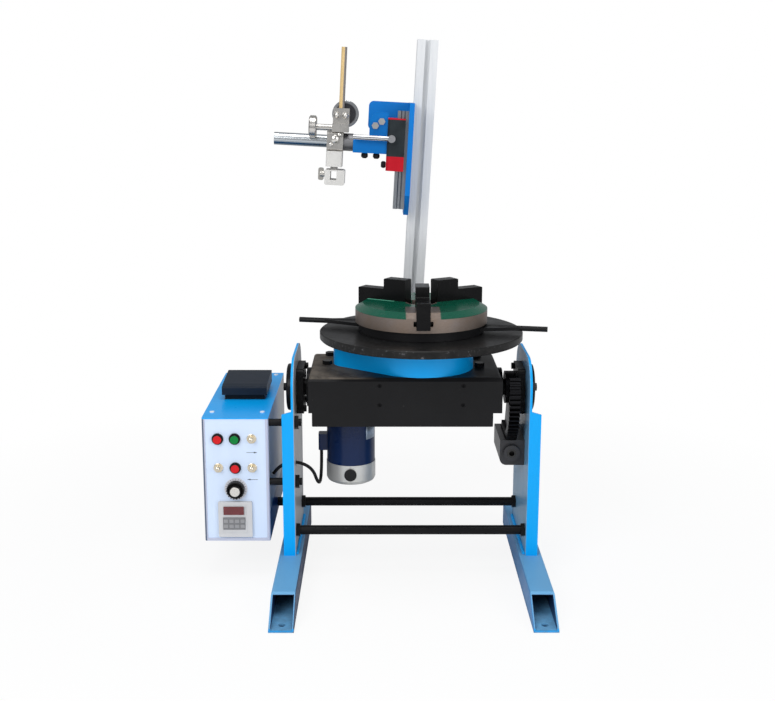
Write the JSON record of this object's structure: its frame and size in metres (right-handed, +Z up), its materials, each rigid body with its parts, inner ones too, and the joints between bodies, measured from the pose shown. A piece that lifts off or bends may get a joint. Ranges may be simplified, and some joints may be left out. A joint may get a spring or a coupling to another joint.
{
  "type": "welding positioner",
  "caption": "Tilting turntable with a self-centring lever chuck, worm tilt drive, control box with foot pedal, and a mast that carries a welding torch holder.",
  "frame": {"origin": "on the floor, midway between the bolt holes in the toes of the two feet", "axes": "+X to the operator's right along the tilt axis, +Y away from the operator, +Z up"},
  "size_m": [0.5139, 0.51, 0.8021],
  "materials": {
    "upright_paint": "satin",
    "foot_paint": "satin",
    "housing_paint": "satin",
    "case_paint": "gloss",
    "black_steel": "satin",
    "bare_steel": "brushed",
    "dark_steel": "oiled",
    "zinc": "plain",
    "table_black": "worn",
    "chuck_green": "gloss",
    "motor_paint": "satin",
    "cast_cap": "cast",
    "box_paint": "satin",
    "shell_grey": "satin",
    "panel_paint": "satin",
    "red_cap": "gloss",
    "green_cap": "gloss",
    "black_plastic": "matte",
    "grey_plastic": "matte",
    "chrome": "polished",
    "profile_aluminium": "anodised",
    "bracket_blue": "satin",
    "arm_blue": "satin",
    "white_plastic": "satin",
    "rubber": "matte",
    "rod_brown": "matte"
  },
  "bodies": {
    "base_frame": {"left_foot": "foot_paint", "right_foot": "foot_paint", "left_upright": "upright_paint", "right_upright": "upright_paint", "tie_bars": "black_steel", "bearing_units": "black_steel", "worm_box": "black_steel", "frame_fasteners": "zinc", "box_shell": "shell_grey", "box_lid": "box_paint", "front_panel": "panel_paint", "panel_switches": "zinc", "cycle_timer": "grey_plastic", "drive_electronics": "bare_steel", "pedal_base": "black_steel", "motor_cable": "rubber"},
    "tilt_unit": {"trunnions": "black_steel", "tilt_housing": "housing_paint", "housing_skirt": "housing_paint", "tilt_sector": "dark_steel", "belt_case": "case_paint", "drive_belt": "rubber", "spindle_bearing": "bare_steel", "motor_can": "motor_paint", "motor_end_cap": "cast_cap", "tilt_fasteners": "black_steel", "mast": "profile_aluminium", "mast_bracket": "black_steel", "slide_bracket": "bracket_blue", "slide_rail": "bare_steel"},
    "worm_shaft": {"worm": "bare_steel"},
    "turntable": {"table_spindle": "bare_steel", "round_table": "table_black", "chuck_body": "chuck_green"},
    "motor_rotor": {"motor_pulley": "bare_steel"},
    "chuck_ring": {"lever_ring": "black_steel"},
    "jaw_front": {"front_jaw": "black_steel"},
    "jaw_right": {"right_jaw": "black_steel"},
    "jaw_left": {"left_jaw": "black_steel"},
    "stop_cap": {"stop_button": "red_cap"},
    "start_cap": {"start_button": "green_cap"},
    "jog_cap": {"jog_button": "red_cap"},
    "power_bat": {"power_toggle": "chrome"},
    "mode_bat": {"mode_toggle": "chrome"},
    "direction_bat": {"direction_toggle": "chrome"},
    "speed_dial_knob": {"speed_knob": "black_plastic"},
    "pedal_cover": {"foot_pedal": "black_plastic"},
    "carriage": {"slide_carriage": "black_steel", "clamp_arm": "arm_blue"},
    "rail_lock": {"clamp_knob": "black_plastic"},
    "outer_lock": {"outer_arm_knob": "black_plastic"},
    "inner_lock": {"inner_arm_knob": "black_plastic"},
    "swing_lever": {"bar_lever": "chrome"},
    "sliding_tube": {"torch_tube": "chrome"},
    "rod_clamp": {"cross_clamp": "bare_steel"},
    "rod": {"torch_rod": "rod_brown"},
    "side_lock": {"side_knob": "chrome"},
    "rear_lock": {"disc_knob": "bare_steel"},
    "grip_head": {"torch_head": "white_plastic"},
    "grip_wing": {"wing_screw": "bare_steel"}
  },
  "joints": [
    {"name": "tilt", "type": "hinge", "parent": "base_frame", "child": "tilt_unit", "pos_m": [0, 0.256, 0.276], "axis": [1, 0, 0], "range_deg": [0, 90]},
    {"name": "worm_turn", "type": "hinge", "parent": "base_frame", "child": "worm_shaft", "pos_m": [0.153, 0.256, 0.185], "axis": [0, 1, 0], "range_deg": [-5800, 20]},
    {"name": "table_spin", "type": "hinge", "parent": "tilt_unit", "child": "turntable", "pos_m": [0.016, 0.256, 0.36], "axis": [0, 0, 1], "continuous": true},
    {"name": "motor_spin", "type": "hinge", "parent": "tilt_unit", "child": "motor_rotor", "pos_m": [-0.092, 0.272, 0.31], "axis": [0, 0, 1], "continuous": true},
    {"name": "ring_turn", "type": "hinge", "parent": "turntable", "child": "chuck_ring", "pos_m": [0.016, 0.256, 0.373], "axis": [0, 0, 1], "range_deg": [-360, 270]},
    {"name": "jaw_front_slide", "type": "slide", "parent": "turntable", "child": "jaw_front", "axis": [0, -1, 0], "range_m": [-0.0155, 0.0122]},
    {"name": "jaw_right_slide", "type": "slide", "parent": "turntable", "child": "jaw_right", "axis": [0.866, 0.5, 0], "range_m": [-0.0155, 0.0122]},
    {"name": "jaw_left_slide", "type": "slide", "parent": "turntable", "child": "jaw_left", "axis": [-0.866, 0.5, 0], "range_m": [-0.0155, 0.0122]},
    {"name": "stop_press", "type": "slide", "parent": "base_frame", "child": "stop_cap", "axis": [0, 1, 0], "range_m": [0, 0.0025], "stiffness_N_per_m": 300},
    {"name": "start_press", "type": "slide", "parent": "base_frame", "child": "start_cap", "axis": [0, 1, 0], "range_m": [0, 0.0025], "stiffness_N_per_m": 300},
    {"name": "jog_press", "type": "slide", "parent": "base_frame", "child": "jog_cap", "axis": [0, 1, 0], "range_m": [0, 0.0025], "stiffness_N_per_m": 300},
    {"name": "power_flip", "type": "hinge", "parent": "base_frame", "child": "power_bat", "pos_m": [-0.2366, 0.175, 0.217], "axis": [1, 0, 0], "range_deg": [0, 20]},
    {"name": "mode_flip", "type": "hinge", "parent": "base_frame", "child": "mode_bat", "pos_m": [-0.287, 0.175, 0.172], "axis": [1, 0, 0], "range_deg": [0, 20]},
    {"name": "direction_flip", "type": "hinge", "parent": "base_frame", "child": "direction_bat", "pos_m": [-0.2366, 0.175, 0.172], "axis": [1, 0, 0], "range_deg": [0, 20]},
    {"name": "speed_turn", "type": "hinge", "parent": "base_frame", "child": "speed_dial_knob", "pos_m": [-0.2617, 0.175, 0.139], "axis": [0, 1, 0], "range_deg": [-140, 140]},
    {"name": "pedal_press", "type": "hinge", "parent": "base_frame", "child": "pedal_cover", "pos_m": [-0.258, 0.355, 0.266], "axis": [1, 0, 0], "range_deg": [0, 5], "stiffness_Nm_per_rad": 3, "springref_deg": -5.73},
    {"name": "carriage_slide", "type": "slide", "parent": "tilt_unit", "child": "carriage", "axis": [0.0523, 0, 0.9986], "range_m": [-0.055, 0.01]},
    {"name": "rail_lock_turn", "type": "hinge", "parent": "carriage", "child": "rail_lock", "pos_m": [-0.03748, 0.413, 0.60454], "axis": [0.9986, 0, -0.0523], "range_deg": [-180, 180]},
    {"name": "outer_lock_turn", "type": "hinge", "parent": "carriage", "child": "outer_lock", "pos_m": [-0.07175, 0.421, 0.61935], "axis": [0.0523, 0, 0.9986], "range_deg": [-180, 180]},
    {"name": "inner_lock_turn", "type": "hinge", "parent": "carriage", "child": "inner_lock", "pos_m": [-0.05277, 0.421, 0.61836], "axis": [0.0523, 0, 0.9986], "range_deg": [-180, 180]},
    {"name": "lever_swing", "type": "hinge", "parent": "carriage", "child": "swing_lever", "pos_m": [-0.02829, 0.393, 0.64611], "axis": [0, 1, 0], "range_deg": [-60, 60]},
    {"name": "tube_slide", "type": "slide", "parent": "carriage", "child": "sliding_tube", "axis": [-0.9986, 0, 0.0523], "range_m": [0, 0.025]},
    {"name": "clamp_turn", "type": "hinge", "parent": "sliding_tube", "child": "rod_clamp", "pos_m": [-0.11869, 0.421, 0.64084], "axis": [0.9986, 0, -0.0523], "range_deg": [-30, 30]},
    {"name": "rod_slide", "type": "slide", "parent": "rod_clamp", "child": "rod", "axis": [0.0523, 0, 0.9986], "range_m": [0, 0.02]},
    {"name": "side_lock_turn", "type": "hinge", "parent": "rod_clamp", "child": "side_lock", "pos_m": [-0.13651, 0.403, 0.6638], "axis": [0.9986, 0, -0.0523], "range_deg": [-180, 180]},
    {"name": "rear_lock_turn", "type": "hinge", "parent": "rod_clamp", "child": "rear_lock", "pos_m": [-0.1024, 0.436, 0.68405], "axis": [0, 1, 0], "range_deg": [-180, 180]},
    {"name": "head_swivel", "type": "hinge", "parent": "rod_clamp", "child": "grip_head", "pos_m": [-0.12005, 0.417, 0.61487], "axis": [0.0523, 0, 0.9986], "range_deg": [-40, 40]},
    {"name": "wing_turn", "type": "hinge", "parent": "grip_head", "child": "grip_wing", "pos_m": [-0.1304, 0.413, 0.58938], "axis": [0.9986, 0, -0.0523], "range_deg": [-180, 180]}
  ],
  "couplings": [
    {"joint": "worm_turn", "follows": "tilt", "ratio": -64},
    {"joint": "motor_spin", "follows": "table_spin", "ratio": 3.1579},
    {"joint": "jaw_front_slide", "follows": "ring_turn", "m_per_rad": 0.0023873},
    {"joint": "jaw_right_slide", "follows": "ring_turn", "m_per_rad": 0.0023873},
    {"joint": "jaw_left_slide", "follows": "ring_turn", "m_per_rad": 0.0023873}
  ]
}
